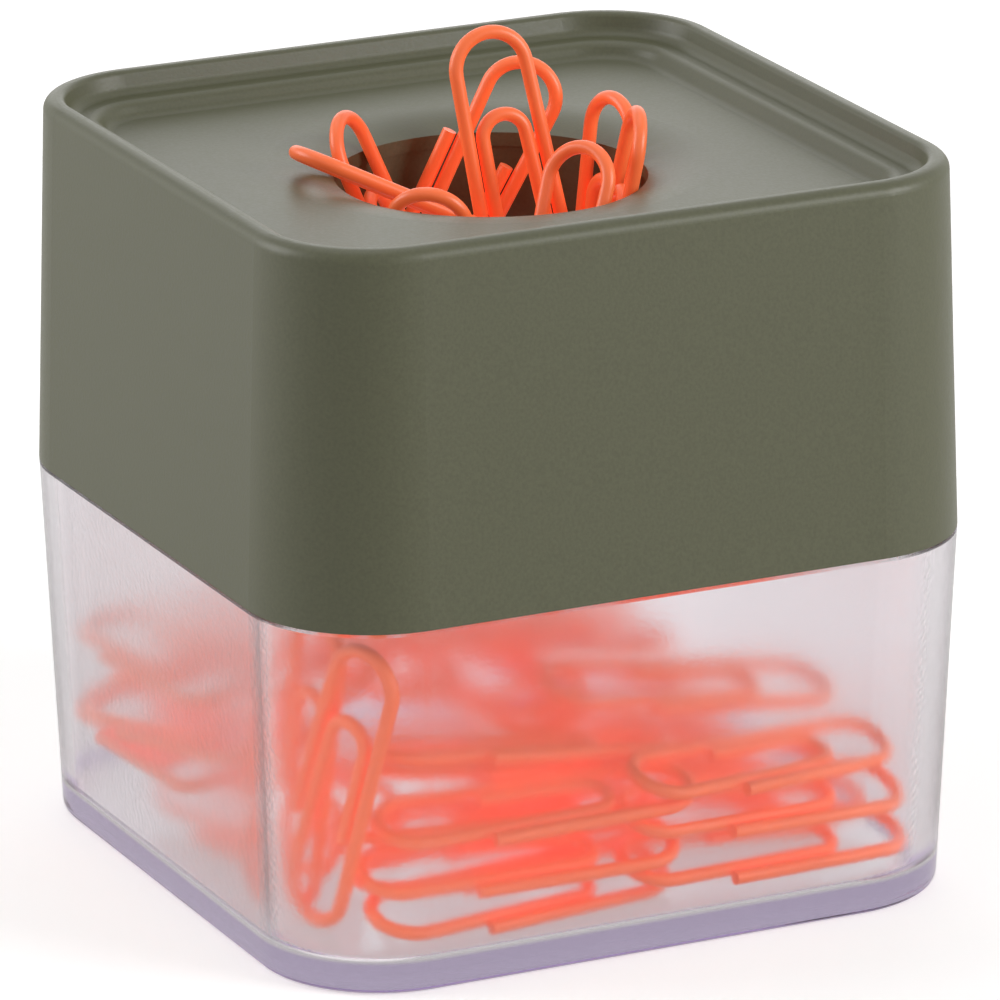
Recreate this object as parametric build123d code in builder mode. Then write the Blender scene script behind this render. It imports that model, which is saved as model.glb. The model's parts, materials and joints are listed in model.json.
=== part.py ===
"""Magnetic paper clip holder: a clear square box, a lid with a dished mouth and a ring magnet, and its clips.

Millimetres, +Z up. The origin is the centre of the box's underside. The lid lifts straight up off the box, and
most of the clips that stand in the mouth pull straight out of it, clear of their neighbours.
"""

import itertools
import math
import os
import random

import numpy as np
from build123d import *
from scipy.spatial import cKDTree

# Outer form: a rounded square that is widest at the joint between the box and the lid
JOINT_WIDTH = 64.0
BASE_WIDTH = 61.6
TOP_WIDTH = 62.0
JOINT_CORNER = 11.2
BASE_CORNER = 10.9
TOP_CORNER = 10.2
BOX_HEIGHT = 31.8
LID_HEIGHT = 31.9

# Box
BOX_WALL = 2.2
FLOOR_THICKNESS = 2.4
BASE_EDGE_RADIUS = 1.0
FLOOR_EDGE_RADIUS = 0.8
SHOULDER_CHAMFER = 0.3
NECK_HEIGHT = 3.0
NECK_WALL = 1.0

# Lid
LID_WALL = 2.2
SEAT_CLEARANCE = 0.3
RIM_WIDTH = 1.7
RIM_OUTER_RADIUS = 1.1
RIM_INNER_RADIUS = 0.5
RIM_SLOPE = 0.6
LEDGE_DEPTH = 1.9
LEDGE_WIDTH = 2.2
LEDGE_CORNER_RADIUS = 1.0
LEDGE_EDGE_RADIUS = 1.0
TRAY_DEPTH = 3.2
TRAY_SLOPE = 0.9
TRAY_CORNER_RADIUS = 1.0
TRAY_FLOOR = 2.4
CAVITY_EDGE_RADIUS = 1.5

# Mouth, magnet and the retainer that holds the magnet against the lid
THROAT_RADIUS = 13.4
LIP_OVERHANG = 0.2
LIP_START_RADIUS = 18.8
LIP_DROP = 1.2
SLEEVE_WALL = 1.0
MAGNET_BAND = 6.0
MAGNET_HEIGHT = 6.0
MAGNET_EDGE_CHAMFER = 0.4
MAGNET_CLEARANCE = 0.2
FLANGE_THICKNESS = 1.6
FLANGE_EDGE_CHAMFER = 0.4
COLLAR_WALL = 1.6
BEAD_HEIGHT = 0.6
BEAD_DEPTH = 0.3
BEAD_CLEARANCE = 0.1

# Paper clip: coated wire bent to two nested loops at one end and a single, slightly wider loop at the other
CLIP_LENGTH = 28.0
WIRE_DIAMETER = 1.2
OUTER_LOOP = 3.1
INNER_LOOP = 1.9
SINGLE_LOOP = 3.0
SINGLE_LOOP_OFFSET = 0.5
INNER_LOOP_SETBACK = 7.1
LEG_GAP = 0.12
OUTER_FREE_END = 9.0
INNER_FREE_END = 9.6
CLIP_SPACING = 0.1

# Loose clips in the box, which lie in heaps, the steep ones first. A heap lies "at" a place told in parts of the
# floor's half width. Its clips point along "heading", "tilt" up from level and "roll" about their length, in
# degrees, each within its share, "loose", of the spreads below.
HEAPS = {
    "corner": dict(at=(-0.88, -0.76), heading=282, tilt=69, roll=80, loose=0.1, clips=1),
    "corner_left": dict(at=(-0.87, -0.52), heading=277, tilt=76, roll=84, loose=0.1, clips=1),
    "left_edge": dict(at=(-0.98, 0.02), heading=271, tilt=5, roll=-72, loose=0.5, clips=2),
    "front_low": dict(at=(-0.34, -0.88), heading=0, tilt=0, roll=-20, loose=0.7, clips=3),
    "front_high": dict(at=(-0.22, -0.60), heading=-5, tilt=-2, roll=4, loose=1.4, clips=4),
    "front_right": dict(at=(0.50, -0.82), heading=4, tilt=0, roll=-14, loose=1.2, clips=3),
    "right_high": dict(at=(0.46, -0.42), heading=-12, tilt=-3, roll=-4, loose=2.0, clips=4),
    "left_low": dict(at=(-0.84, 0.50), heading=268, tilt=2, roll=-16, loose=1.0, clips=4),
    "left_high": dict(at=(-0.78, 0.36), heading=270, tilt=7, roll=-22, loose=1.5, clips=3),
    "middle": dict(at=(0.02, -0.02), heading=20, tilt=0, roll=0, loose=2.4, clips=4),
    "back": dict(at=(0.10, 0.66), heading=8, tilt=0, roll=6, loose=1.5, clips=2),
    "right": dict(at=(0.70, 0.24), heading=80, tilt=0, roll=-8, loose=1.6, clips=2),
    "left_back": dict(at=(-0.45, 0.62), heading=30, tilt=0, roll=4, loose=1.6, clips=1),
}
HEAP_SCATTER = 0.06
HEADING_SPREAD = 10.0
TILT_SPREAD = 4.0
ROLL_SPREAD = 6.0
PILE_FALLS = 20
PILE_HEIGHT = 15.0
PILE_SEED = 11
STRAY_STEP = 0.004

# Heights and half widths that follow from the sizes above
TOTAL_HEIGHT = BOX_HEIGHT + LID_HEIGHT
LEDGE_Z = TOTAL_HEIGHT - LEDGE_DEPTH
TRAY_Z = TOTAL_HEIGHT - TRAY_DEPTH
CEILING_Z = TRAY_Z - TRAY_FLOOR
LIP_Z = TRAY_Z - LIP_DROP
SLEEVE_OUTER = THROAT_RADIUS + SLEEVE_WALL
MAGNET_INNER = SLEEVE_OUTER + MAGNET_CLEARANCE
MAGNET_OUTER = MAGNET_INNER + MAGNET_BAND
COLLAR_INNER = MAGNET_OUTER + MAGNET_CLEARANCE
MAGNET_Z = CEILING_Z - MAGNET_HEIGHT
RETAINER_Z = MAGNET_Z - FLANGE_THICKNESS
NECK_WIDTH = JOINT_WIDTH - 2 * (BOX_WALL - NECK_WALL)
NECK_CORNER = JOINT_CORNER - (BOX_WALL - NECK_WALL)

# Centres of the clip's three loops: along the clip from its single end, then across it
OUTER_CENTRE = (CLIP_LENGTH - WIRE_DIAMETER / 2 - OUTER_LOOP, 0.0)
INNER_CENTRE = (CLIP_LENGTH - INNER_LOOP_SETBACK - WIRE_DIAMETER / 2 - INNER_LOOP, 0.0)
SINGLE_CENTRE = (WIRE_DIAMETER / 2 + SINGLE_LOOP, SINGLE_LOOP_OFFSET)

# Clips that the magnet holds in the mouth, in the order in which they took hold, angles in degrees from +X.
# At the height of the magnet a clip's middle line starts at the bearing "at", "out" of the way from the mouth's
# axis to the throat's wall, and is drawn on to the wall from there. It leans by "lean" towards "to", its flat face
# looks towards "face", its tip starts "reach" above the rim, and "end" is the end that is up.
MOUTH_CLIPS = {
    "mouth_clip_right": dict(at=9, out=0.38, lean=5, to=349, face=188, reach=0.9, end="double"),
    "mouth_clip_right_edge": dict(at=331, out=0.78, lean=13, to=303, face=161, reach=1.8, end="double"),
    "mouth_clip_back": dict(at=76, out=0.68, lean=26, to=334, face=238, reach=3.0, end="single"),
    "mouth_clip_left": dict(at=128, out=0.65, lean=22, to=163, face=318, reach=-0.2, end="double"),
    "mouth_clip_left_low": dict(at=211, out=0.08, lean=64, to=168, face=353, reach=-1.2, end="double"),
    "mouth_clip_front_left": dict(at=216, out=0.53, lean=26, to=216, face=233, reach=-2.5, end="double"),
    "mouth_clip_tall": dict(at=323, out=0.15, lean=11, to=138, face=264, reach=8.39, end="double"),
    "mouth_clip_front_right": dict(at=283, out=0.70, lean=23, to=30, face=209, reach=-0.28, end="single"),
}


def wall_width(z):
    """Outer width at height z, which tapers both ways from the joint."""
    return np.interp(z, [0, BOX_HEIGHT, TOTAL_HEIGHT], [BASE_WIDTH, JOINT_WIDTH, TOP_WIDTH])


def wall_corner(z):
    """Outer corner radius at height z."""
    return np.interp(z, [0, BOX_HEIGHT, TOTAL_HEIGHT], [BASE_CORNER, JOINT_CORNER, TOP_CORNER])


def square_at(z, inset=0.0):
    """Rounded square on the plane at height z, inset from the outer form there."""
    with BuildSketch(Plane.XY.offset(z)) as outline:
        side = wall_width(z) - 2 * inset
        RectangleRounded(side, side, wall_corner(z) - inset)
    return outline.sketch


def lip_arc():
    """Radius and centre height of the arc that rolls the tray over into the mouth."""
    run = LIP_START_RADIUS - (THROAT_RADIUS - LIP_OVERHANG)
    radius = (run**2 + LIP_DROP**2) / (2 * LIP_DROP)
    return radius, TRAY_Z - radius


def lip_height(radius):
    """Height of the lid's upper surface around the mouth, at a distance from the mouth's axis."""
    roll, centre_z = lip_arc()
    short = np.clip(LIP_START_RADIUS - np.asarray(radius, float), 0, LIP_START_RADIUS - THROAT_RADIUS + LIP_OVERHANG)
    return centre_z + np.sqrt(roll**2 - short**2)


def mouth_profile(step=0.1):
    """Points (radius, height) down the mouth: over the lip, down the sleeve and under the flange."""
    edge = THROAT_RADIUS - LIP_OVERHANG
    over = np.arange(TOP_WIDTH / 2, edge, -step)
    down_lip = np.arange(LIP_Z, CEILING_Z, -step)
    down_sleeve = np.arange(CEILING_Z, RETAINER_Z, -step)
    under = np.arange(THROAT_RADIUS, COLLAR_INNER + COLLAR_WALL, step)
    return np.vstack(
        [
            np.column_stack([over, lip_height(over)]),
            np.column_stack([np.full_like(down_lip, edge), down_lip]),
            np.column_stack([np.full_like(down_sleeve, THROAT_RADIUS), down_sleeve]),
            np.column_stack([under, np.full_like(under, RETAINER_Z)]),
        ]
    )


def on_loop(centre, radius, degrees):
    """Point of a loop at an angle from the clip's length."""
    turn = math.radians(degrees)
    return centre[0] + radius * math.cos(turn), centre[1] + radius * math.sin(turn)


def leg_slope(near, near_radius, far, far_radius, side):
    """Slope in degrees of the straight leg that touches two loops on one side, +1 or -1 across the clip."""
    along, across = far[0] - near[0], far[1] - near[1]
    spread = math.asin((near_radius - far_radius) / math.hypot(along, across))
    return math.degrees(math.atan2(across, along) - side * spread)


def clip_loops():
    """The clip's loops in order along its wire, as (centre, radius, start angle, turn), and its two free ends."""
    right = leg_slope(SINGLE_CENTRE, SINGLE_LOOP, OUTER_CENTRE, OUTER_LOOP, 1)
    left = leg_slope(SINGLE_CENTRE, SINGLE_LOOP, INNER_CENTRE, INNER_LOOP, -1)
    # The first leg runs outside the second one, a wire and a gap away from it
    touch = on_loop(SINGLE_CENTRE, SINGLE_LOOP, left - 90)
    beside = touch[1] + (OUTER_FREE_END - touch[0]) * math.tan(math.radians(left))
    first_start = (OUTER_FREE_END, beside - WIRE_DIAMETER - LEG_GAP)
    away = (OUTER_CENTRE[0] - first_start[0], OUTER_CENTRE[1] - first_start[1])
    first = math.degrees(math.atan2(away[1], away[0]) - math.asin(OUTER_LOOP / math.hypot(*away)))
    # The last leg runs beside the right-hand leg
    last_from = on_loop(INNER_CENTRE, INNER_LOOP, right + 90)
    last_end = (INNER_FREE_END, last_from[1] + (INNER_FREE_END - last_from[0]) * math.tan(math.radians(right)))
    loops = [
        (OUTER_CENTRE, OUTER_LOOP, first - 90, 180 + right - first),
        (SINGLE_CENTRE, SINGLE_LOOP, right + 90, 180 + left - right),
        (INNER_CENTRE, INNER_LOOP, left - 90, 180 + right - left),
    ]
    return first_start, loops, last_end


def clip_centreline(step=0.5):
    """Points along the clip's wire, in the clip's own plane: along its length, then across it."""
    start, loops, end = clip_loops()
    points = [np.array([start])]
    for centre, radius, angle, turn in loops:
        arc = [on_loop(centre, radius, t) for t in np.linspace(angle, angle + turn, round(180 / 9))]
        leg = np.linspace(points[-1][-1], arc[0], max(2, round(math.dist(points[-1][-1], arc[0]) / step)))
        points += [leg, np.array(arc)]
    points.append(np.linspace(points[-1][-1], end, max(2, round(math.dist(points[-1][-1], end) / step))))
    return np.vstack(points)


def unit(vector):
    """The vector at length one."""
    return np.asarray(vector, float) / np.linalg.norm(vector)


def bearing(degrees):
    """Level unit vector at an angle from +X."""
    return np.array([math.cos(math.radians(degrees)), math.sin(math.radians(degrees)), 0.0])


class Placement:
    """Where a clip lies: its origin, the way its length points and the way its flat face looks."""

    def __init__(self, origin, along, face):
        self.origin = np.asarray(origin, float)
        self.along = unit(along)
        self.face = unit(face - np.dot(face, self.along) * self.along)
        self.across = np.cross(self.face, self.along)

    def points(self, line):
        """The clip's centreline in the holder's frame."""
        return self.origin + np.outer(line[:, 0], self.along) + np.outer(line[:, 1], self.across)

    def moved(self, shift):
        """The same clip, shifted."""
        return Placement(self.origin + shift, self.along, self.face)

    def location(self):
        """The same place as a build123d location."""
        plane = Plane(origin=tuple(self.origin), x_dir=tuple(self.along), z_dir=tuple(self.face))
        return plane.location


def slide(points, direction, room, limit=120.0, touch=0.02, rounds=400):
    """How far the points go along the direction before room, the free space around them, runs out."""
    travelled = 0.0
    for _ in range(rounds):
        free = room(points + travelled * direction)
        if free < touch or travelled > limit:
            break
        travelled += free
    return travelled


def room_among(clips):
    """Free space between a clip's wire and the wires of the clips that are already placed."""
    if not clips:
        return lambda points: math.inf
    tree = cKDTree(np.vstack(clips))
    return lambda points: tree.query(points)[0].min() - WIRE_DIAMETER - CLIP_SPACING


def room_in_mouth(placed):
    """Free space in the mouth: to its wall and lip, and to the other clips there. It is negative inside the lid."""
    wall = cKDTree(mouth_profile())
    among = room_among(placed)

    def room(points):
        out, up = np.hypot(points[:, 0], points[:, 1]), points[:, 2]
        free = (out < THROAT_RADIUS - LIP_OVERHANG) | (up > lip_height(out)) | (up < RETAINER_Z)
        away = wall.query(np.column_stack([out, up]))[0] * np.where(free, 1, -1)
        return min(away.min() - WIRE_DIAMETER / 2 - CLIP_SPACING, among(points))

    return room


def nearest_free(place, line, room, step=0.1):
    """The same clip, moved straight in one of 26 ways by the least that frees it."""
    ways = [unit(way) for way in itertools.product((0, 1, -1), repeat=3) if any(way)]
    for distance in np.arange(0, CLIP_LENGTH, step):
        for way in ways:
            shifted = place.moved(distance * way)
            if room(shifted.points(line)) >= 0:
                return shifted
    return place


def mouth_placements(line):
    """Each mouth clip moves until it is free, then is drawn towards the throat's wall until it touches."""
    placed, points = {}, []
    grip_z = (CEILING_Z + RETAINER_Z) / 2
    for name, clip in MOUTH_CLIPS.items():
        room = room_in_mouth(points)
        upward = np.array([0, 0, 1.0]) + math.tan(math.radians(clip["lean"])) * bearing(clip["to"])
        middle = clip["out"] * THROAT_RADIUS * bearing(clip["at"]) + np.array([0, 0, grip_z])
        tip = middle + (TOTAL_HEIGHT + clip["reach"] - grip_z) * upward
        if clip["end"] == "double":
            place = Placement(tip - CLIP_LENGTH * unit(upward), upward, bearing(clip["face"]))
        else:
            place = Placement(tip, -upward, bearing(clip["face"]))
            place = place.moved(-SINGLE_LOOP_OFFSET * place.across)
        pull = bearing(clip["at"])
        place = nearest_free(place, line, room)
        place = place.moved(slide(place.points(line), pull, room) * pull)
        placed[name] = place
        points.append(place.points(line))
    return placed


def inside_box(points):
    """Whether the wire stays clear of the box's walls, which lean, and of the rounding at their feet."""
    half = wall_width(points[:, 2]) / 2 - BOX_WALL
    corner = wall_corner(points[:, 2]) - BOX_WALL
    beyond = np.abs(points[:, :2]) - (half - corner)[:, None]
    depth = np.hypot(*np.maximum(beyond, 0).T) + np.minimum(beyond.max(axis=1), 0) - corner
    return depth.max() < -max(WIRE_DIAMETER / 2, FLOOR_EDGE_RADIUS) - CLIP_SPACING


def pile_order():
    """Heap of each loose clip: they fall on all heaps in turn, and small heaps are full first."""
    layers = max(heap["clips"] for heap in HEAPS.values())
    return [name for layer in range(layers) for name, heap in HEAPS.items() if heap["clips"] > layer]


def thrown(heap, chance, inward):
    """One way for a clip to lie on a heap, with its middle at the height of the floor and some way inward."""
    half = wall_width(FLOOR_THICKNESS) / 2 - BOX_WALL
    about = [heap["loose"] * chance.uniform(-1, 1) for _ in range(5)]
    heading = heap["heading"] + about[0] * HEADING_SPREAD
    tilt = math.radians(heap["tilt"] + about[1] * TILT_SPREAD)
    roll = math.radians(heap["roll"] + about[2] * ROLL_SPREAD)
    along = math.cos(tilt) * bearing(heading) + np.array([0, 0, math.sin(tilt)])
    level = np.array([0, 0, math.cos(tilt)]) - math.sin(tilt) * bearing(heading)
    face = math.cos(roll) * level + math.sin(roll) * bearing(heading + 90)
    place = [half * (part * (1 - inward) + HEAP_SCATTER * shift) for part, shift in zip(heap["at"], about[3:])]
    middle = np.array([*place, FLOOR_THICKNESS])
    return Placement(middle - CLIP_LENGTH / 2 * along, along, face)


def mean_height(points):
    """Height of the middle of a clip's wire above the box's floor."""
    return points[:, 2].mean() - FLOOR_THICKNESS


def room_in_box(placed):
    """Free space below a falling clip: to the box's floor and to the clips that lie there."""
    among = room_among(placed)

    def room(points):
        above_floor = points[:, 2].min() - FLOOR_THICKNESS - WIRE_DIAMETER / 2 - CLIP_SPACING
        return min(above_floor, among(points))

    return room


def pile_placements(line):
    """Loose clips dropped one by one: of several falls, each takes the one that lies lowest.

    A clip that would meet a wall or lie too high is thrown again, a little further inward each time.
    """
    chance = random.Random(PILE_SEED)
    placed, points = {}, []
    down = np.array([0, 0, -1.0])
    for number, heap in enumerate(pile_order(), 1):
        room = room_in_box(points)
        top = max([wire[:, 2].max() for wire in points], default=FLOOR_THICKNESS) + 2 * WIRE_DIAMETER
        found = []
        low, strays = 0, 0
        while low < PILE_FALLS and strays * STRAY_STEP < 1:
            place = thrown(HEAPS[heap], chance, strays * STRAY_STEP)
            if inside_box(place.points(line)):
                place = place.moved((place.points(line)[:, 2].min() - top) * down)
                place = place.moved(slide(place.points(line), down, room) * down)
            fits = inside_box(place.points(line))
            if fits:
                found.append(place)
            if fits and mean_height(place.points(line)) < PILE_HEIGHT:
                low += 1
            else:
                strays += 1
        if not found:
            raise ValueError("The box has no room for a loose clip")
        lowest = min(found, key=lambda lies: mean_height(lies.points(line)))
        placed[f"loose_clip_{number:02d}"] = lowest
        points.append(lowest.points(line))
    return placed


def tray_square(depth, inset):
    """Rounded square on the plane at a depth below the rim, inset from the lid's top outline."""
    with BuildSketch(Plane.XY.offset(TOTAL_HEIGHT - depth)) as outline:
        side = TOP_WIDTH - 2 * inset
        RectangleRounded(side, side, TOP_CORNER - inset)
    return outline.sketch


def ring_edges(body, z, width):
    """Edges of a body that lie level at height z on the outline of a square or circle of the given width."""
    found = []
    for edge in body.edges():
        low, high = edge.bounding_box().min, edge.bounding_box().max
        reach = max(-low.X, -low.Y, high.X, high.Y)
        if abs(low.Z - z) < 1e-3 and abs(high.Z - z) < 1e-3 and abs(reach - width / 2) < 1e-3:
            found.append(edge)
    return found


# Clear box: tapered walls, a thick floor, and a neck inside its top edge that the lid fits over
with BuildPart() as box:
    shoulder = BOX_HEIGHT - SHOULDER_CHAMFER
    loft([square_at(0), square_at(shoulder)], ruled=True)
    fillet(box.faces().sort_by(Axis.Z)[0].edges(), BASE_EDGE_RADIUS)
    loft([square_at(shoulder), square_at(BOX_HEIGHT, SHOULDER_CHAMFER)], ruled=True)
    with BuildSketch(Plane.XY.offset(BOX_HEIGHT)):
        neck = NECK_WIDTH - 2 * SEAT_CLEARANCE
        RectangleRounded(neck, neck, NECK_CORNER - SEAT_CLEARANCE)
    extrude(amount=NECK_HEIGHT)
    loft([square_at(FLOOR_THICKNESS, BOX_WALL), square_at(BOX_HEIGHT, BOX_WALL)], ruled=True, mode=Mode.SUBTRACT)
    with BuildSketch(Plane.XY.offset(BOX_HEIGHT)):
        clear = JOINT_WIDTH - 2 * BOX_WALL
        RectangleRounded(clear, clear, JOINT_CORNER - BOX_WALL)
    extrude(amount=NECK_HEIGHT, mode=Mode.SUBTRACT)
    fillet(box.faces().filter_by(Plane.XY).sort_by(Axis.Z)[1].edges(), FLOOR_EDGE_RADIUS)
box.part.label = "box"

# Lid: a cap with a raised rim, a stepped tray, a lip that rolls into the mouth, and a collar for the magnet below
with BuildPart() as lid:
    loft([square_at(BOX_HEIGHT), square_at(TOTAL_HEIGHT)], ruled=True)
    fillet(lid.faces().sort_by(Axis.Z)[-1].edges(), RIM_OUTER_RADIUS)
    # Room inside, up to a flat ceiling
    loft([square_at(BOX_HEIGHT, LID_WALL), square_at(CEILING_Z, LID_WALL)], ruled=True, mode=Mode.SUBTRACT)
    fillet(lid.faces().filter_by(Plane.XY).sort_by(Axis.Z)[-2].edges(), CAVITY_EDGE_RADIUS)
    # Rebate that drops over the box's neck
    with BuildSketch(Plane.XY.offset(BOX_HEIGHT)):
        RectangleRounded(NECK_WIDTH, NECK_WIDTH, NECK_CORNER)
    extrude(amount=NECK_HEIGHT + SEAT_CLEARANCE, mode=Mode.SUBTRACT)
    # Tray: the rim's inner wall, a narrow ledge, and a second wall down to the tray's floor
    ledge = RIM_WIDTH + RIM_SLOPE
    loft([tray_square(0, RIM_WIDTH), tray_square(LEDGE_DEPTH, ledge)], ruled=True, mode=Mode.SUBTRACT)
    step = ledge + LEDGE_WIDTH
    loft([tray_square(LEDGE_DEPTH, step), tray_square(TRAY_DEPTH, step + TRAY_SLOPE)], ruled=True, mode=Mode.SUBTRACT)
    fillet(ring_edges(lid, TRAY_Z, TOP_WIDTH - 2 * (step + TRAY_SLOPE)), TRAY_CORNER_RADIUS)
    fillet(ring_edges(lid, LEDGE_Z, TOP_WIDTH - 2 * step), LEDGE_EDGE_RADIUS)
    fillet(ring_edges(lid, LEDGE_Z, TOP_WIDTH - 2 * ledge), LEDGE_CORNER_RADIUS)
    fillet(ring_edges(lid, TOTAL_HEIGHT, TOP_WIDTH - 2 * RIM_WIDTH), RIM_INNER_RADIUS)
    # Collar that holds the magnet's outer edge, with a groove for the retainer's bead
    bead_z = RETAINER_Z + FLANGE_THICKNESS / 2
    with BuildSketch(Plane.XY.offset(RETAINER_Z)):
        Circle(COLLAR_INNER + COLLAR_WALL)
        Circle(COLLAR_INNER, mode=Mode.SUBTRACT)
    extrude(amount=CEILING_Z - RETAINER_Z)
    with BuildSketch(Plane.XY.offset(bead_z - BEAD_HEIGHT / 2 - BEAD_CLEARANCE)):
        Circle(COLLAR_INNER + BEAD_DEPTH + BEAD_CLEARANCE)
        Circle(COLLAR_INNER - BEAD_DEPTH, mode=Mode.SUBTRACT)
    extrude(amount=BEAD_HEIGHT + 2 * BEAD_CLEARANCE, mode=Mode.SUBTRACT)
    # Mouth with its rolled lip
    lip_radius, lip_centre = lip_arc()
    lip_edge = THROAT_RADIUS - LIP_OVERHANG
    half_turn = math.atan2(LIP_START_RADIUS - lip_edge, lip_radius - LIP_DROP) / 2
    half_way = LIP_START_RADIUS - lip_radius * math.sin(half_turn)
    with BuildSketch(Plane.XZ):
        with BuildLine():
            crown = (half_way, lip_centre + lip_radius * math.cos(half_turn))
            ThreePointArc((LIP_START_RADIUS, TRAY_Z), crown, (lip_edge, LIP_Z))
            Polyline(
                (lip_edge, LIP_Z),
                (lip_edge, CEILING_Z - 1),
                (0, CEILING_Z - 1),
                (0, TRAY_Z + 1),
                (LIP_START_RADIUS, TRAY_Z + 1),
                (LIP_START_RADIUS, TRAY_Z),
            )
        make_face()
    revolve(axis=Axis.Z, mode=Mode.SUBTRACT)
lid.part.label = "lid"

# Ring magnet, up against the lid's ceiling
with BuildPart() as ring_magnet:
    with BuildSketch(Plane.XY.offset(MAGNET_Z)):
        Circle(MAGNET_OUTER)
        Circle(MAGNET_INNER, mode=Mode.SUBTRACT)
    extrude(amount=MAGNET_HEIGHT)
    chamfer(ring_magnet.edges().filter_by(GeomType.CIRCLE), MAGNET_EDGE_CHAMFER)
ring_magnet.part.label = "ring_magnet"

# Retainer: a sleeve that lines the throat, and a flange that snaps into the collar under the magnet
with BuildPart() as magnet_retainer:
    with BuildSketch(Plane.XY.offset(RETAINER_Z)):
        Circle(COLLAR_INNER - BEAD_CLEARANCE)
        Circle(THROAT_RADIUS, mode=Mode.SUBTRACT)
    extrude(amount=FLANGE_THICKNESS)
    chamfer(ring_edges(magnet_retainer, RETAINER_Z, 2 * (COLLAR_INNER - BEAD_CLEARANCE)), FLANGE_EDGE_CHAMFER)
    chamfer(ring_edges(magnet_retainer, RETAINER_Z, 2 * THROAT_RADIUS), FLANGE_EDGE_CHAMFER)
    with BuildSketch(Plane.XY.offset(MAGNET_Z)):
        Circle(SLEEVE_OUTER)
        Circle(THROAT_RADIUS, mode=Mode.SUBTRACT)
    extrude(amount=MAGNET_HEIGHT)
    with BuildSketch(Plane.XY.offset(bead_z - BEAD_HEIGHT / 2)):
        Circle(COLLAR_INNER + BEAD_DEPTH)
        Circle(SLEEVE_OUTER, mode=Mode.SUBTRACT)
    extrude(amount=BEAD_HEIGHT)
magnet_retainer.part.label = "magnet_retainer"

# One paper clip, flat in the XY plane with its length along X
with BuildPart() as paper_clip:
    wire_start, wire_loops, wire_end = clip_loops()
    with BuildLine() as wire:
        reached = wire_start
        for centre, radius, angle, turn in wire_loops:
            Line(reached, on_loop(centre, radius, angle))
            CenterArc(centre, radius, angle, turn)
            reached = on_loop(centre, radius, angle + turn)
        Line(reached, wire_end)
    with BuildSketch(Plane(origin=wire.line @ 0, z_dir=wire.line % 0)):
        Circle(WIRE_DIAMETER / 2)
    sweep(path=wire.wires()[0])

centreline = clip_centreline()
clips = {**mouth_placements(centreline), **pile_placements(centreline)}

os.makedirs("parts", exist_ok=True)
for one in (box, lid, ring_magnet, magnet_retainer):
    export_step(one.part, f"parts/{one.part.label}.step")
for name, place in clips.items():
    with BuildPart() as clip:
        add(paper_clip.part.moved(place.location()))
    clip.part.label = name
    export_step(clip.part, f"parts/{name}.step")
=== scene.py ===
import json
import math

import bpy
import numpy as np
from mathutils import Matrix, Vector

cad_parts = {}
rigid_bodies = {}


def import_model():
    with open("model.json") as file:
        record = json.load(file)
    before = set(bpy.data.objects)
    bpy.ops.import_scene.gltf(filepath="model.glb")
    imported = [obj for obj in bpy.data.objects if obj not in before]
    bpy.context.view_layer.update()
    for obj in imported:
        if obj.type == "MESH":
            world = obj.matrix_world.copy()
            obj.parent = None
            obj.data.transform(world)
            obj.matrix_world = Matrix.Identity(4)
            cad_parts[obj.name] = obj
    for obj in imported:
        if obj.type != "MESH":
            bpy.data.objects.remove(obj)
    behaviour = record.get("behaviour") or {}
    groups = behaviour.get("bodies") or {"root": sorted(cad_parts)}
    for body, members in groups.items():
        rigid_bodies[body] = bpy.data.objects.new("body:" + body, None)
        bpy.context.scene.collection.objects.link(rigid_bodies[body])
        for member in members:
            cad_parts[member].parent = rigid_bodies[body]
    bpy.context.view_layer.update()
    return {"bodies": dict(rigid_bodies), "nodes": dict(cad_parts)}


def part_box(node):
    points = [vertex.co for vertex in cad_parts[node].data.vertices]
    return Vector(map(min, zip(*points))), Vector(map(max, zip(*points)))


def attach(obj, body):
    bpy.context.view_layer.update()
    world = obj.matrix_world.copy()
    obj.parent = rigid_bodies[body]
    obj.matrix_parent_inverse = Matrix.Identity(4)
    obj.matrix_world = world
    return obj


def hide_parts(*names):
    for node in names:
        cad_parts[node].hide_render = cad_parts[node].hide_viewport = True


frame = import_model()

bl_info = {
    "name": "Paper clip holder",
    "version": (1, 0, 0),
    "blender": (4, 5, 0),
    "location": "View3D > Sidebar > Clip Holder",
    "description": "Finishes, clips and studio for a magnetic paper clip holder",
    "category": "Object",
}

MM = 0.001
WHITE = (1, 1, 1, 1)

# Refractive indices of the plastics
POLYSTYRENE_IOR = 1.5
ABS_IOR = 1.53
VINYL_IOR = 1.53

# Half the height over which the polished base turns into frosted wall
FROST_EDGE = 0.15 * MM
# Share of a corner's radius over which the corner's own frosting sets in
CORNER_BLEND = 0.15
# A height in metres that the box never reaches
OUT_OF_REACH = 1.0
# Most of a noise pattern lies between these levels
NOISE_LOW = 0.3
NOISE_HIGH = 0.7

# How a wire's cut ends are told from its other faces: steps of depth, shares of its section and radius
FLAT_STEP = 0.02 * MM
LEAST_SECTION = 0.8
MOST_REACH = 1.1
QUAD_CORNERS = 4

# Softboxes: place, target and size in metres
SOFTBOXES = {
    "left softbox": dict(place=(-0.60, 0.34, 0.30), target=(0, 0, 0.03), size=(0.45, 0.45), watts=2.5),
    "right softbox": dict(place=(0.50, -0.55, 0.32), target=(0, 0, 0.03), size=(0.40, 0.40), watts=3.7),
    "top softbox": dict(place=(0.0, 0.15, 0.68), target=(0, 0, 0.03), size=(0.50, 0.50), watts=0.6),
    "back softbox": dict(place=(0.33, 0.72, 0.30), target=(0, 0, 0.05), size=(0.70, 0.40), watts=0.9),
}

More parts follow.
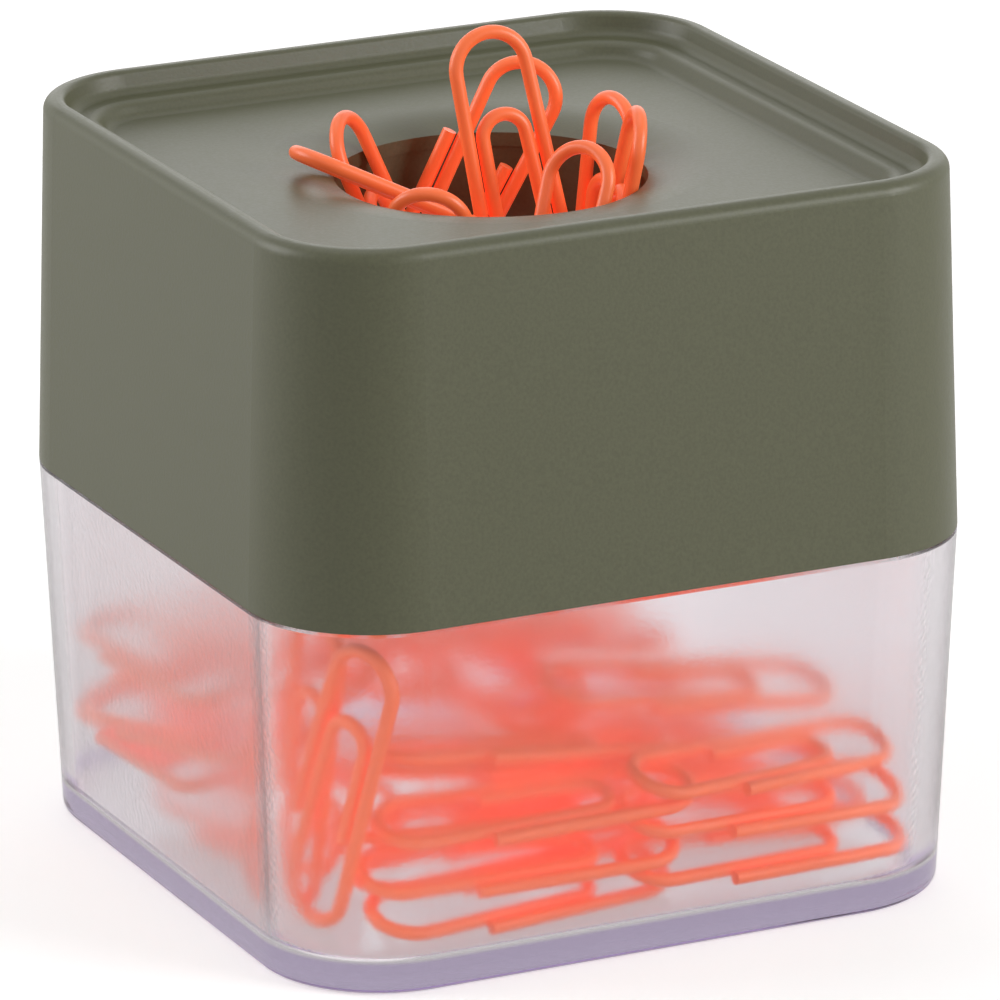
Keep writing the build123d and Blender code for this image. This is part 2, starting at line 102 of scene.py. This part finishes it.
# Camera, fitted to the photograph's edges: millimetres, with the roll in degrees
CAMERA_PLACE = (-313.22, -658.73, 267.15)
CAMERA_AIM = (0.555, -0.265, 30.61)
CAMERA_ROLL = -0.288
CAMERA_LENS = 325.3
CAMERA_SENSOR = 36.0
CAMERA_NEAR = 10.0
CAMERA_FAR = 10000.0


def linear(code):
    """Linear RGBA of an sRGB hex colour."""
    parts = [int(code[i : i + 2], 16) / 255 for i in (1, 3, 5)]
    return [p / 12.92 if p <= 0.04045 else ((p + 0.055) / 1.055) ** 2.4 for p in parts] + [1.0]


def colour(label, about, code):
    """A colour that the user can change, with an sRGB hex default."""
    return bpy.props.FloatVectorProperty(
        name=label, description=about, subtype="COLOR", size=4, min=0, max=1, default=linear(code)
    )


def length(label, about, millimetres):
    """A length that the user can change, with a default in millimetres."""
    return bpy.props.FloatProperty(
        name=label,
        description=about,
        subtype="DISTANCE",
        unit="LENGTH",
        default=millimetres * MM,
        precision=5,
    )


def share(label, about, part):
    """A share from 0 to 1 that the user can change."""
    return bpy.props.FloatProperty(
        name=label, description=about, subtype="FACTOR", min=0, max=1, default=part, precision=3
    )


def add(tree, kind, settings=None, **links):
    """A node with its settings, and its inputs set to values or linked to sockets.

    A key is an input's name with _ for each space, or its number, such as i6, where inputs share a name.
    """
    made = tree.nodes.new(kind)
    for key, value in (settings or {}).items():
        setattr(made, key, value)
    for key, value in links.items():
        numbered = key[0] == "i" and key[1:].isdigit()
        socket = made.inputs[int(key[1:]) if numbered else key.replace("_", " ")]
        if isinstance(value, bpy.types.NodeSocket):
            tree.links.new(value, socket)
        else:
            socket.default_value = value
    return made


class HolderFinish(bpy.types.PropertyGroup):
    """Colours, grain and gloss of the holder and its clips."""

    lid_colour: colour("Lid", "Olive moulded plastic of the lid", "#57583F")
    pit_colour: colour("Pits", "Shade of the pits in the lid's grain", "#B4B5A8")
    box_colour: colour("Box", "Frosted clear plastic of the box's walls", "#FDFAFC")
    base_colour: colour("Base", "Polished clear plastic of the box's base", "#BEAADF")
    depth_colour: colour("Depth", "Tint that thick clear plastic takes on", "#CDB4D2")
    clip_colour: colour("Clips", "Vinyl coat of the clips", "#FF8046")
    drift_colour: colour("Drift", "Shade that drifts along the clips' coat", "#F2B49A")
    # Painted light: colour of the clips' glow, partly fluorescence and partly painted light that brightens
    # their shade
    painted_glow_colour: colour("Glow", "Light that the clips' fluorescent pigment gives back", "#FF5A32")
    ferrite_colour: colour("Magnet", "Sintered ferrite", "#3A3A3D")
    pore_colour: colour("Pores", "Dark between the magnet's grains", "#1C1C1E")
    frost_start: length("Frost start", "Height at which the frosting begins, above the polished base", 2.9)
    frost_grain: length("Frost grain", "Size of the grain on the box's walls", 0.45)
    spark_grain: length("Spark grain", "Size of the lid's spark-eroded texture", 0.30)
    powder_grain: length("Powder grain", "Size of the speckle on the magnet", 0.35)
    coat_grain: length("Coat grain", "Size of the fine skin on the clips' coat", 0.25)
    coat_drift: length("Coat drift", "Distance over which the coat's colour drifts", 3.0)
    frost: share("Frost", "Roughness inside the box's walls", 0.21)
    corner_frost: share("Corner frost", "Roughness inside the box's rounded corners", 0.15)
    skin_rough: share("Skin roughness", "Roughness outside the box's walls", 0.18)
    base_rough: share("Base roughness", "Roughness of the box's polished base", 0.08)
    clearness: share("Clearness", "Share of light that goes through the box", 1.0)
    pit_shade: share("Pit shade", "How much of their shade the lid's pits take", 0.30)
    pit_rough: share("Pit roughness", "Roughness in the lid's pits", 0.40)
    peak_rough: share("Peak roughness", "Roughness on the lid's peaks", 0.48)
    pore_rough: share("Pore roughness", "Roughness in the magnet's pores", 0.80)
    powder_rough: share("Powder roughness", "Roughness of the magnet's grains", 0.60)
    coat_shade: share("Coat shade", "How much of its shade the coat takes where it drifts most", 0.16)
    coat_rough: share("Coat roughness", "Roughness of the clips' coat", 0.36)
    # Strength of the clips' painted glow, partly fluorescence and partly painted light
    painted_glow_strength: share("Glow strength", "Strength of the light that the pigment gives back", 0.23)
    depth: bpy.props.FloatProperty(
        name="Depth strength",
        description="How fast clear plastic takes on its tint, per metre",
        min=0,
        default=16.0,
    )


class BoxSizes(bpy.types.PropertyGroup):
    """Sizes of the box that its frosting follows."""

    base_width: length("Base width", "Outer width of the box at its underside", 61.6)
    joint_height: length("Joint height", "Height of the joint between the box and the lid", 31.8)
    corner: length("Corner", "Radius of the box's outer corners", 11.0)
    wall: length("Wall", "Thickness of the box's walls", 2.2)


class ClipSizes(bpy.types.PropertyGroup):
    """Sizes of one paper clip, along it from its single end and across it."""

    length: length("Length", "Outer length of a clip", 28.0)
    wire: length("Wire", "Diameter of the coated wire", 1.2)
    outer_loop: length("Outer loop", "Radius of the large loop at the double end", 3.1)
    inner_loop: length("Inner loop", "Radius of the small loop at the double end", 1.9)
    single_loop: length("Single loop", "Radius of the loop at the single end", 3.0)
    offset: length("Offset", "Shift of the single loop across the clip", 0.5)
    setback: length("Setback", "Distance from the outer loop's top to the inner loop's", 7.1)
    leg_gap: length("Leg gap", "Gap between the two legs that lie side by side", 0.12)
    outer_end: length("Outer end", "Where the outer leg ends, from the single end", 9.0)
    inner_end: length("Inner end", "Where the inner leg ends, from the single end", 9.6)
    sides: bpy.props.IntProperty(
        name="Sides", description="Sides of the round wire", min=6, max=48, default=16
    )
    steps: bpy.props.IntProperty(
        name="Steps", description="Straight steps round each loop", min=6, max=60, default=20
    )


class StudioSettings(bpy.types.PropertyGroup):
    """The floor, and how bright the floor and the sky are."""

    paper_colour: colour("Paper", "Backdrop paper that the holder stands on", "#F4F3F2")
    floor_width: length("Floor width", "Width of the square floor", 6000.0)
    floor_seen: share("Floor seen", "Lift of the floor where the camera sees it", 0.45)
    floor_through: share("Floor through plastic", "Lift of the floor where clear plastic shows it", 0.19)
    sky_light: share("Sky light", "Even light that the sky gives the holder", 0.26)


def material(name):
    """A new material with an empty node tree, and its Principled shader wired to the output."""
    made = bpy.data.materials.new(name)
    made.use_nodes = True
    tree = made.node_tree
    tree.nodes.clear()
    shader = add(tree, "ShaderNodeBsdfPrincipled")
    add(tree, "ShaderNodeOutputMaterial", Surface=shader.outputs["BSDF"])
    return made, tree, shader


def dress(node, finish):
    """Gives a CAD node its material."""
    slots = frame["nodes"][node].data.materials
    slots.clear()
    slots.append(finish)


class OBJECT_OT_holder_box(bpy.types.Operator):
    """Frosts the inside of the box's walls and leaves its outside and its base polished"""

    bl_idname = "object.holder_box"
    bl_label = "Box"

    def masks(self, tree, place):
        """1 on the box's outer skin and 0 within it, then 1 round its corners and 0 on its flats."""
        sizes = bpy.context.scene.box_sizes
        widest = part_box("box")[1].x
        height = add(tree, "ShaderNodeSeparateXYZ", Vector=place).outputs["Z"]
        # A wall's flat stretch ends this far from the middle, and further out where the box is wider
        flat = add(
            tree,
            "ShaderNodeMapRange",
            {"clamp": False},
            Value=height,
            From_Max=sizes.joint_height,
            To_Min=sizes.base_width / 2 - sizes.corner,
            To_Max=widest - sizes.corner,
        ).outputs["Result"]
        square = add(tree, "ShaderNodeCombineXYZ", X=flat, Y=flat, Z=OUT_OF_REACH).outputs["Vector"]
        spread = add(tree, "ShaderNodeVectorMath", {"operation": "ABSOLUTE"}, i0=place).outputs["Vector"]
        beyond = add(
            tree, "ShaderNodeVectorMath", {"operation": "SUBTRACT"}, i0=spread, i1=square
        ).outputs["Vector"]
        past = add(
            tree, "ShaderNodeVectorMath", {"operation": "MAXIMUM"}, i0=beyond, i1=(0, 0, 0)
        ).outputs["Vector"]
        away = add(tree, "ShaderNodeVectorMath", {"operation": "LENGTH"}, i0=past).outputs["Value"]
        limit = sizes.corner - sizes.wall / 2
        skin = add(tree, "ShaderNodeMath", {"operation": "GREATER_THAN"}, i0=away, i1=limit).outputs[0]
        past_x, past_y, _ = add(tree, "ShaderNodeSeparateXYZ", Vector=past).outputs
        both = add(tree, "ShaderNodeMath", {"operation": "MINIMUM"}, i0=past_x, i1=past_y).outputs[0]
        blend = CORNER_BLEND * sizes.corner
        bend = add(tree, "ShaderNodeMapRange", Value=both, From_Max=blend).outputs["Result"]
        return skin, bend

    def execute(self, context):
        finish = context.scene.holder_finish
        # Frosted polystyrene: what touches a wall is crisp, what lies behind blurs, and the base is violet.
        # The real grain is finer, and is drawn as coarse as it needs to show
        made, tree, shader = material("Frosted polystyrene")
        place = add(tree, "ShaderNodeTexCoord").outputs["Object"]
        height = add(tree, "ShaderNodeSeparateXYZ", Vector=place).outputs["Z"]
        walls = add(
            tree,
            "ShaderNodeMapRange",
            Value=height,
            From_Min=finish.frost_start - FROST_EDGE,
            From_Max=finish.frost_start + FROST_EDGE,
        ).outputs["Result"]
        grain = add(
            tree, "ShaderNodeTexNoise", Vector=place, Scale=1 / finish.frost_grain, Detail=1.0, Roughness=0.5
        ).outputs["Fac"]
        skin, bend = self.masks(tree, place)
        band = add(tree, "ShaderNodeMapRange", Value=walls, To_Min=skin, To_Max=0.0).outputs["Result"]
        tint = add(
            tree, "ShaderNodeMix", {"data_type": "RGBA"}, i0=band, i6=finish.box_colour, i7=finish.base_colour
        ).outputs[2]
        tree.links.new(tint, shader.inputs["Base Color"])
        inside = add(
            tree, "ShaderNodeMapRange", Value=bend, To_Min=finish.frost, To_Max=finish.corner_frost
        ).outputs["Result"]
        frost = add(
            tree, "ShaderNodeMapRange", Value=skin, To_Min=inside, To_Max=finish.skin_rough
        ).outputs["Result"]
        rough = add(
            tree, "ShaderNodeMapRange", Value=walls, To_Min=finish.base_rough, To_Max=frost
        ).outputs["Result"]
        tree.links.new(rough, shader.inputs["Roughness"])
        inner = add(tree, "ShaderNodeMath", {"operation": "SUBTRACT"}, i0=walls, i1=skin).outputs[0]
        relief = add(tree, "ShaderNodeMath", {"operation": "MULTIPLY"}, i0=grain, i1=inner).outputs[0]
        bump = add(tree, "ShaderNodeBump", Strength=0.22, Distance=0.05 * MM, Height=relief).outputs["Normal"]
        tree.links.new(bump, shader.inputs["Normal"])
        shader.inputs["Transmission Weight"].default_value = finish.clearness
        shader.inputs["IOR"].default_value = POLYSTYRENE_IOR
        # The plastic is faintly violet, which shows where the eye looks along a wall or into the base's edge
        tinted = add(tree, "ShaderNodeVolumeAbsorption", Color=finish.depth_colour, Density=finish.depth)
        tree.links.new(tinted.outputs["Volume"], tree.nodes["Material Output"].inputs["Volume"])
        dress("box", made)
        return {"FINISHED"}


class OBJECT_OT_holder_lid(bpy.types.Operator):
    """Gives the lid, and the retainer under it, their satin olive plastic"""

    bl_idname = "object.holder_lid"
    bl_label = "Lid"

    def execute(self, context):
        finish = context.scene.holder_finish
        # Moulded ABS: a spark-eroded mould leaves a fine grain that breaks up a satin sheen.
        # The real grain is finer, and is drawn as coarse as it needs to show
        made, tree, shader = material("Moulded ABS")
        place = add(tree, "ShaderNodeTexCoord").outputs["Object"]
        grain = add(
            tree, "ShaderNodeTexNoise", Vector=place, Scale=1 / finish.spark_grain, Detail=2.0
        ).outputs["Fac"]
        fleck = add(
            tree, "ShaderNodeMapRange", Value=grain, From_Min=NOISE_LOW, From_Max=NOISE_HIGH
        ).outputs["Result"]
        pits = add(
            tree, "ShaderNodeMapRange", Value=fleck, To_Min=finish.pit_shade, To_Max=0.0
        ).outputs["Result"]
        shade = add(
            tree,
            "ShaderNodeMix",
            {"data_type": "RGBA", "blend_type": "MULTIPLY"},
            i0=pits,
            i6=finish.lid_colour,
            i7=finish.pit_colour,
        ).outputs[2]
        tree.links.new(shade, shader.inputs["Base Color"])
        rough = add(
            tree, "ShaderNodeMapRange", Value=fleck, To_Min=finish.pit_rough, To_Max=finish.peak_rough
        ).outputs["Result"]
        tree.links.new(rough, shader.inputs["Roughness"])
        bump = add(tree, "ShaderNodeBump", Strength=0.25, Distance=0.04 * MM, Height=grain).outputs["Normal"]
        tree.links.new(bump, shader.inputs["Normal"])
        shader.inputs["IOR"].default_value = ABS_IOR
        dress("lid", made)
        dress("magnet_retainer", made)
        return {"FINISHED"}


class OBJECT_OT_holder_magnet(bpy.types.Operator):
    """Gives the ring magnet its dull ferrite"""

    bl_idname = "object.holder_magnet"
    bl_label = "Magnet"

    def execute(self, context):
        finish = context.scene.holder_finish
        # Sintered ferrite: pressed dark powder, ground flat, with a dull speckle and open pores.
        # The real powder is finer, and is drawn as coarse as it needs to show
        made, tree, shader = material("Sintered ferrite")
        place = add(tree, "ShaderNodeTexCoord").outputs["Object"]
        powder = add(
            tree, "ShaderNodeTexNoise", Vector=place, Scale=1 / finish.powder_grain, Detail=3.0
        ).outputs["Fac"]
        shade = add(
            tree,
            "ShaderNodeMix",
            {"data_type": "RGBA"},
            i0=powder,
            i6=finish.pore_colour,
            i7=finish.ferrite_colour,
        ).outputs[2]
        tree.links.new(shade, shader.inputs["Base Color"])
        rough = add(
            tree, "ShaderNodeMapRange", Value=powder, To_Min=finish.pore_rough, To_Max=finish.powder_rough
        ).outputs["Result"]
        tree.links.new(rough, shader.inputs["Roughness"])
        bump = add(tree, "ShaderNodeBump", Strength=0.3, Distance=0.04 * MM, Height=powder).outputs["Normal"]
        tree.links.new(bump, shader.inputs["Normal"])
        dress("ring_magnet", made)
        return {"FINISHED"}


def on_loop(centre, radius, angle):
    """Point of a loop at an angle from the clip's length."""
    return centre + radius * np.array([math.cos(angle), math.sin(angle)])


def leg_slope(near, near_radius, far, far_radius, side):
    """Slope of the straight leg that touches two loops on one side, +1 or -1 across the clip."""
    along, across = far - near
    narrowing = math.asin((near_radius - far_radius) / math.hypot(along, across))
    return math.atan2(across, along) - side * narrowing


def wire_path(sizes):
    """Points along a clip's wire in its own plane: along its length from the single end, then across it."""
    outer = np.array([sizes.length - sizes.wire / 2 - sizes.outer_loop, 0.0])
    inner = np.array([sizes.length - sizes.setback - sizes.wire / 2 - sizes.inner_loop, 0.0])
    single = np.array([sizes.wire / 2 + sizes.single_loop, sizes.offset])
    right = leg_slope(single, sizes.single_loop, outer, sizes.outer_loop, 1)
    left = leg_slope(single, sizes.single_loop, inner, sizes.inner_loop, -1)
    # The first leg runs outside the second one, a wire and a gap away from it
    touch = on_loop(single, sizes.single_loop, left - math.pi / 2)
    beside = touch[1] + (sizes.outer_end - touch[0]) * math.tan(left)
    start = np.array([sizes.outer_end, beside - sizes.wire - sizes.leg_gap])
    away = outer - start
    first = math.atan2(away[1], away[0]) - math.asin(sizes.outer_loop / np.linalg.norm(away))
    # The last leg runs beside the right-hand leg
    leave = on_loop(inner, sizes.inner_loop, right + math.pi / 2)
    end = np.array([sizes.inner_end, leave[1] + (sizes.inner_end - leave[0]) * math.tan(right)])
    path = [start]
    for centre, radius, begin, turn in (
        (outer, sizes.outer_loop, first - math.pi / 2, math.pi + right - first),
        (single, sizes.single_loop, right + math.pi / 2, math.pi + left - right),
        (inner, sizes.inner_loop, left - math.pi / 2, math.pi + right - left),
    ):
        for step in range(sizes.steps + 1):
            path.append(on_loop(centre, radius, begin + turn * step / sizes.steps))
    return np.array(path + [end])


def wire_ends(mesh, radius):
    """Centre and outward normal of the two flat ends of a clip's wire, the outer end first."""
    flat = {}
    for face in mesh.polygons:
        depth = round(face.normal.dot(face.center) / FLAT_STEP)
        key = tuple(round(v, 3) for v in face.normal) + (depth,)
        flat.setdefault(key, []).append(face)
    ends = []
    for faces in flat.values():
        area = sum(face.area for face in faces)
        if area < LEAST_SECTION * math.pi * radius**2:
            continue
        centre = sum((face.area * face.center for face in faces), Vector()) / area
        corners = [mesh.vertices[v].co for face in faces for v in face.vertices]
        if max((corner - centre).length for corner in corners) < MOST_REACH * radius:
            ends.append((centre, faces[0].normal.copy()))
    if len(ends) != 2:
        raise ValueError(f"{mesh.name} shows {len(ends)} wire ends instead of two")
    # The inner end lies further along the clip, and both ends look back along it
    return sorted(ends, key=lambda found: found[0].dot(-ends[0][1] - ends[1][1]))


def clip_frame(first, second, normal):
    """Orthonormal columns from the line between a clip's two ends and the way its outer end looks."""
    across = (second - first).normalized()
    face = across.cross(normal).normalized()
    return Matrix((across, face, across.cross(face))).transposed()


def clip_pose(node, path, radius):
    """Place and turn that carry a clip from its own plane to where the CAD node lies."""
    (first, looks), (second, _) = wire_ends(frame["nodes"][node].data, radius)
    own = [Vector((*path[i], 0.0)) for i in (0, -1, 1)]
    turn = clip_frame(first, second, looks) @ clip_frame(own[0], own[1], own[0] - own[2]).transposed()
    return first - turn @ own[0], turn.to_quaternion()


def clip_tree():
    """Geometry nodes that sweep the wire along its path and lay a clip at every point, as it is turned."""
    tree = bpy.data.node_groups.new("Paper clips", "GeometryNodeTree")
    tree.is_modifier = True
    for name, kind in (
        ("Points", "NodeSocketGeometry"),
        ("Path", "NodeSocketObject"),
        ("Wire radius", "NodeSocketFloat"),
        ("Sides", "NodeSocketInt"),
        ("Coat", "NodeSocketMaterial"),
    ):
        tree.interface.new_socket(name, in_out="INPUT", socket_type=kind)
    tree.interface.new_socket("Clips", in_out="OUTPUT", socket_type="NodeSocketGeometry")
    given = add(tree, "NodeGroupInput").outputs
    path = add(tree, "GeometryNodeObjectInfo", Object=given["Path"]).outputs["Geometry"]
    ring = add(
        tree, "GeometryNodeCurvePrimitiveCircle", Resolution=given["Sides"], Radius=given["Wire radius"]
    ).outputs["Curve"]
    wire = add(
        tree, "GeometryNodeCurveToMesh", Curve=path, Profile_Curve=ring, Fill_Caps=True
    ).outputs["Mesh"]
    # Only the cut ends have more than four corners, and they stay flat
    corners = add(tree, "GeometryNodeInputMeshFaceNeighbors").outputs["Vertex Count"]
    skin = add(
        tree,
        "FunctionNodeCompare",
        {"data_type": "INT", "operation": "LESS_EQUAL"},
        i2=corners,
        i3=QUAD_CORNERS,
    ).outputs["Result"]
    smooth = add(tree, "GeometryNodeSetShadeSmooth", Geometry=wire, Selection=skin).outputs["Geometry"]
    turn = add(
        tree, "GeometryNodeInputNamedAttribute", {"data_type": "QUATERNION"}, Name="turn"
    ).outputs["Attribute"]
    laid = add(
        tree, "GeometryNodeInstanceOnPoints", Points=given["Points"], Instance=smooth, Rotation=turn
    ).outputs["Instances"]
    real = add(tree, "GeometryNodeRealizeInstances", Geometry=laid).outputs["Geometry"]
    coated = add(tree, "GeometryNodeSetMaterial", Geometry=real, Material=given["Coat"]).outputs["Geometry"]
    add(tree, "NodeGroupOutput", Clips=coated)
    return tree


class OBJECT_OT_holder_clips(bpy.types.Operator):
    """Bends the clips from coated wire and lays each where its CAD node lies"""

    bl_idname = "object.holder_clips"
    bl_label = "Clips"

    def coat(self, finish):
        """The clips' material."""
        # Vinyl: a saturated orange skin with a soft sheen along the top of each wire
        made, tree, shader = material("Vinyl coated wire")
        place = add(tree, "ShaderNodeTexCoord").outputs["Object"]
        drift = add(
            tree, "ShaderNodeTexNoise", Vector=place, Scale=1 / finish.coat_drift, Detail=2.0
        ).outputs["Fac"]
        amount = add(
            tree, "ShaderNodeMapRange", Value=drift, To_Min=0.0, To_Max=finish.coat_shade
        ).outputs["Result"]
        shade = add(
            tree,
            "ShaderNodeMix",
            {"data_type": "RGBA", "blend_type": "MULTIPLY"},
            i0=amount,
            i6=finish.clip_colour,
            i7=finish.drift_colour,
        ).outputs[2]
        tree.links.new(shade, shader.inputs["Base Color"])
        skin = add(
            tree, "ShaderNodeTexNoise", Vector=place, Scale=1 / finish.coat_grain, Detail=1.0
        ).outputs["Fac"]
        bump = add(tree, "ShaderNodeBump", Strength=0.08, Distance=0.02 * MM, Height=skin).outputs["Normal"]
        tree.links.new(bump, shader.inputs["Normal"])
        shader.inputs["Roughness"].default_value = finish.coat_rough
        shader.inputs["IOR"].default_value = VINYL_IOR
        # The pigment is fluorescent, and its glow is drawn as an emission that brightens the clips in light
        # and shade alike: partly fluorescence, partly painted light, redder than the coat so that the clips'
        # shadows take a painted red
        shader.inputs["Emission Color"].default_value = finish.painted_glow_colour
        shader.inputs["Emission Strength"].default_value = finish.painted_glow_strength
        return made

    def lay(self, name, nodes, path, tree, guide, coat, sizes):
        """One plain mesh with a clip for every node."""
        poses = [clip_pose(node, path, sizes.wire / 2) for node in nodes]
        points = bpy.data.meshes.new(name + " points")
        points.from_pydata([place for place, turn in poses], [], [])
        turns = points.attributes.new("turn", "QUATERNION", "POINT")
        turns.data.foreach_set("value", [part for place, turn in poses for part in turn])
        holder = bpy.data.objects.new(name + " points", points)
        bpy.context.scene.collection.objects.link(holder)
        modifier = holder.modifiers.new("Paper clips", "NODES")
        modifier.node_group = tree
        given = {"Path": guide, "Wire radius": sizes.wire / 2, "Sides": sizes.sides, "Coat": coat}
        for socket in tree.interface.items_tree:
            if socket.in_out == "INPUT" and socket.name in given:
                modifier[socket.identifier] = given[socket.name]
        depsgraph = bpy.context.evaluated_depsgraph_get()
        mesh = bpy.data.meshes.new_from_object(holder.evaluated_get(depsgraph))
        mesh.name = name
        piece = bpy.data.objects.new(name, mesh)
        bpy.context.scene.collection.objects.link(piece)
        bpy.data.objects.remove(holder)
        bpy.data.meshes.remove(points)
        if len(mesh.polygons) == 0:
            raise ValueError(f"{name} came out empty")
        return piece

    def execute(self, context):
        sizes = context.scene.clip_sizes
        coat = self.coat(context.scene.holder_finish)
        path = wire_path(sizes)
        line = bpy.data.curves.new("wire path", "CURVE")
        line.dimensions = "3D"
        spline = line.splines.new("POLY")
        spline.points.add(len(path) - 1)
        spline.points.foreach_set("co", [part for x, y in path for part in (x, y, 0.0, 1.0)])
        guide = bpy.data.objects.new("wire path", line)
        context.scene.collection.objects.link(guide)
        tree = clip_tree()
        loose = sorted(name for name in frame["nodes"] if name.startswith("loose_clip_"))
        batches = [("loose_clips", "box", loose)]
        for node in sorted(name for name in frame["nodes"] if name.startswith("mouth_clip_")):
            body = node if node in frame["bodies"] else "lid"
            batches.append((node.replace("mouth_clip_", "standing_clip_"), body, [node]))
        pieces = []
        for name, body, nodes in batches:
            piece = self.lay(name, nodes, path, tree, guide, coat, sizes)
            pieces.append((piece, body, nodes))
        bpy.data.objects.remove(guide)
        bpy.data.curves.remove(line)
        bpy.data.node_groups.remove(tree)
        for piece, body, nodes in pieces:
            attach(piece, body)
            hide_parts(*nodes)
        return {"FINISHED"}


class OBJECT_OT_holder_studio(bpy.types.Operator):
    """Sets the pale floor, the soft lights and the camera"""

    bl_idname = "object.holder_studio"
    bl_label = "Studio"

    def seen(self, tree, plain, through, direct):
        """One level on camera rays, one on rays off or through plastic, and else the plain level."""
        path = add(tree, "ShaderNodeLightPath").outputs
        plastic = add(
            tree,
            "ShaderNodeMath",
            {"operation": "MAXIMUM"},
            i0=path["Is Glossy Ray"],
            i1=path["Is Transmission Ray"],
        ).outputs[0]
        level = add(
            tree, "ShaderNodeMapRange", Value=plastic, To_Min=plain, To_Max=through
        ).outputs["Result"]
        return add(
            tree, "ShaderNodeMapRange", Value=path["Is Camera Ray"], To_Min=level, To_Max=direct
        ).outputs["Result"]

    def floor(self, scene, settings):
        """Backdrop paper under the holder."""
        half = settings.floor_width / 2
        corners = [(-half, -half, 0), (half, -half, 0), (half, half, 0), (-half, half, 0)]
        mesh = bpy.data.meshes.new("floor")
        mesh.from_pydata(corners, [], [(0, 1, 2, 3)])
        floor = bpy.data.objects.new("floor", mesh)
        scene.collection.objects.link(floor)
        # Matt paper that keeps the shadow, and is lifted towards white where the camera or plastic sees it
        paper, tree, shader = material("Backdrop paper")
        shader.inputs["Base Color"].default_value = settings.paper_colour
        shader.inputs["Roughness"].default_value = 0.9
        shader.inputs["Specular IOR Level"].default_value = 0.2
        shader.inputs["Emission Color"].default_value = WHITE
        lift = self.seen(tree, plain=0.0, through=settings.floor_through, direct=settings.floor_seen)
        tree.links.new(lift, shader.inputs["Emission Strength"])
        mesh.materials.append(paper)

    def sky(self, scene, settings):
        """Even soft light, and white where the camera and clear plastic see it."""
        world = bpy.data.worlds.new("studio")
        scene.world = world
        world.use_nodes = True
        tree = world.node_tree
        tree.nodes.clear()
        strength = self.seen(tree, plain=settings.sky_light, through=1.0, direct=1.0)
        sky = add(tree, "ShaderNodeBackground", Color=WHITE, Strength=strength)
        add(tree, "ShaderNodeOutputWorld", Surface=sky.outputs["Background"])

    def lamp(self, scene, name, place, target, size, watts):
        """A softbox at a place, turned to its target."""
        data = bpy.data.lights.new(name, "AREA")
        data.shape = "RECTANGLE"
        data.size, data.size_y = size
        data.energy = watts
        made = bpy.data.objects.new(name, data)
        scene.collection.objects.link(made)
        made.location = place
        made.rotation_euler = (Vector(target) - Vector(place)).to_track_quat("-Z", "Y").to_euler()

    def camera(self, scene):
        """The camera at the photograph's viewing angle."""
        data = bpy.data.cameras.new("camera")
        data.sensor_width = CAMERA_SENSOR
        data.lens = CAMERA_LENS
        data.clip_start = CAMERA_NEAR * MM
        data.clip_end = CAMERA_FAR * MM
        eye = bpy.data.objects.new("camera", data)
        scene.collection.objects.link(eye)
        eye.location = Vector(CAMERA_PLACE) * MM
        aim = Vector(CAMERA_AIM) * MM
        turn = (aim - eye.location).to_track_quat("-Z", "Y").to_matrix().to_4x4()
        roll = Matrix.Rotation(math.radians(CAMERA_ROLL), 4, "Z")
        eye.rotation_euler = (turn @ roll).to_euler()
        scene.camera = eye

    def execute(self, context):
        scene = context.scene
        scene.view_settings.view_transform = "Standard"
        self.floor(scene, scene.studio_settings)
        self.sky(scene, scene.studio_settings)
        for name, softbox in SOFTBOXES.items():
            self.lamp(scene, name, **softbox)
        self.camera(scene)
        return {"FINISHED"}


class VIEW3D_PT_holder(bpy.types.Panel):
    """Lists the holder's pieces in the sidebar"""

    bl_label = "Clip Holder"
    bl_space_type = "VIEW_3D"
    bl_region_type = "UI"
    bl_category = "Clip Holder"

    def draw(self, context):
        for maker in MAKERS:
            self.layout.operator(maker.bl_idname)


MAKERS = (
    OBJECT_OT_holder_box,
    OBJECT_OT_holder_lid,
    OBJECT_OT_holder_magnet,
    OBJECT_OT_holder_clips,
    OBJECT_OT_holder_studio,
)
CLASSES = (HolderFinish, BoxSizes, ClipSizes, StudioSettings, *MAKERS, VIEW3D_PT_holder)


def register():
    for made in CLASSES:
        bpy.utils.register_class(made)
    bpy.types.Scene.holder_finish = bpy.props.PointerProperty(type=HolderFinish)
    bpy.types.Scene.box_sizes = bpy.props.PointerProperty(type=BoxSizes)
    bpy.types.Scene.clip_sizes = bpy.props.PointerProperty(type=ClipSizes)
    bpy.types.Scene.studio_settings = bpy.props.PointerProperty(type=StudioSettings)


def unregister():
    del bpy.types.Scene.studio_settings
    del bpy.types.Scene.clip_sizes
    del bpy.types.Scene.box_sizes
    del bpy.types.Scene.holder_finish
    for made in reversed(CLASSES):
        bpy.utils.unregister_class(made)


def main():
    register()
    bpy.ops.object.holder_box()
    bpy.ops.object.holder_lid()
    bpy.ops.object.holder_magnet()
    bpy.ops.object.holder_clips()
    bpy.ops.object.holder_studio()


if __name__ == "__main__":
    main()
